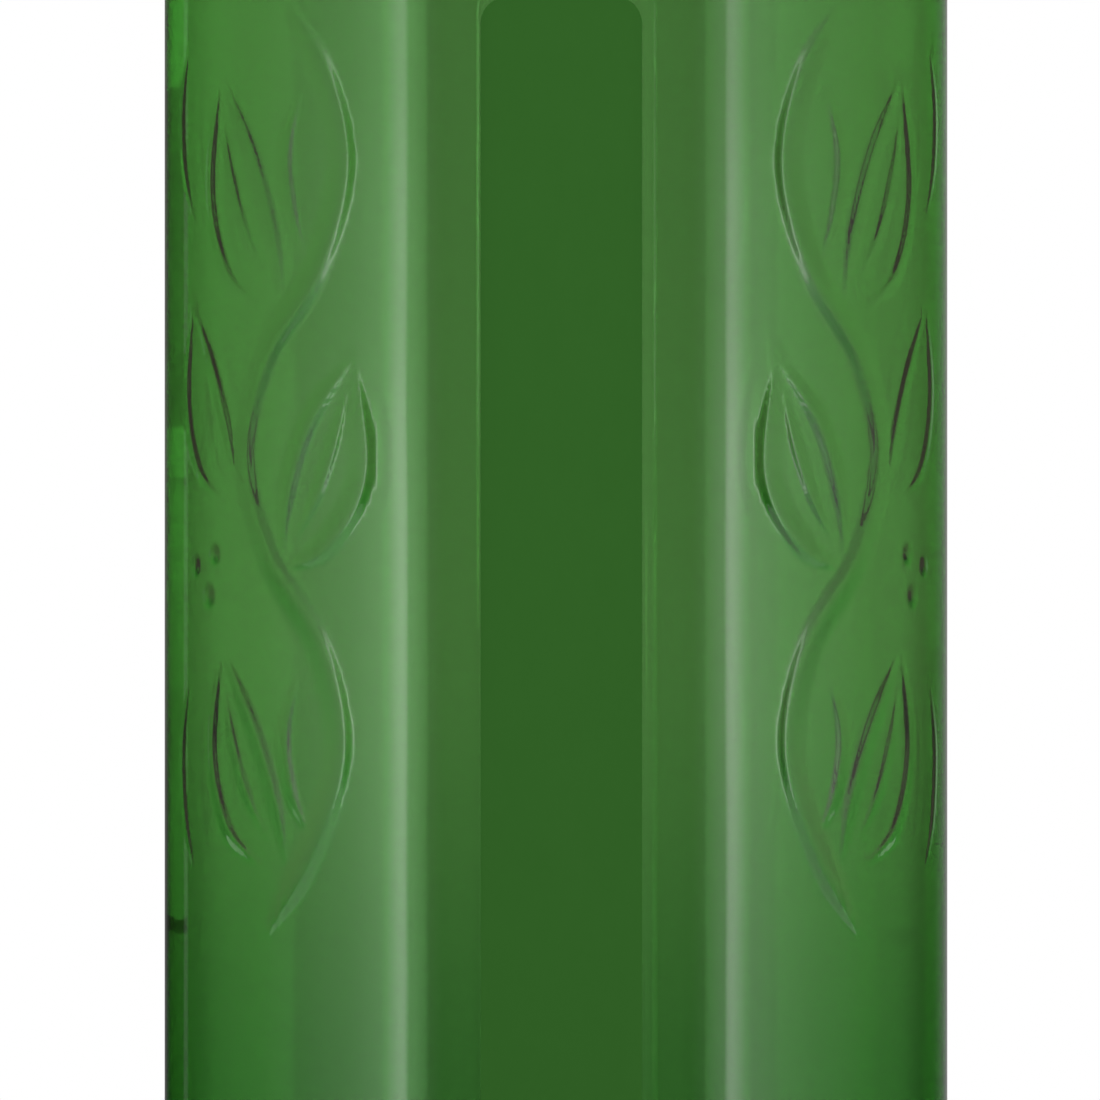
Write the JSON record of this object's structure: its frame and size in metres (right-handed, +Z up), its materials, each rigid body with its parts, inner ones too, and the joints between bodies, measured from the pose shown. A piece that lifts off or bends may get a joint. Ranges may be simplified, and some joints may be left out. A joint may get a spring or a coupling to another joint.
{
  "type": "engraved gin bottle",
  "caption": "Round green glass spirit bottle with an engraved body, a tall narrow front label panel, gin inside and a cork stopper.",
  "frame": {"origin": "middle of the base, on the surface that the bottle stands on", "axes": "+Z up the neck, -Y out of the label side, +X to the right of someone who looks at the label"},
  "size_m": [0.08, 0.08, 0.25],
  "materials": {
    "green_glass": "clear polished green glass",
    "gin": "clear colourless liquid",
    "label_paper": "plain satin dark green label stock",
    "stopper_wood": "turned and oiled hardwood",
    "cork": "natural cork with fine pits"
  },
  "bodies": {
    "root": {"bottle_glass": "green_glass", "gin": "gin", "label": "label_paper", "stopper_head": "stopper_wood", "stopper_cork": "cork"}
  },
  "joints": []
}
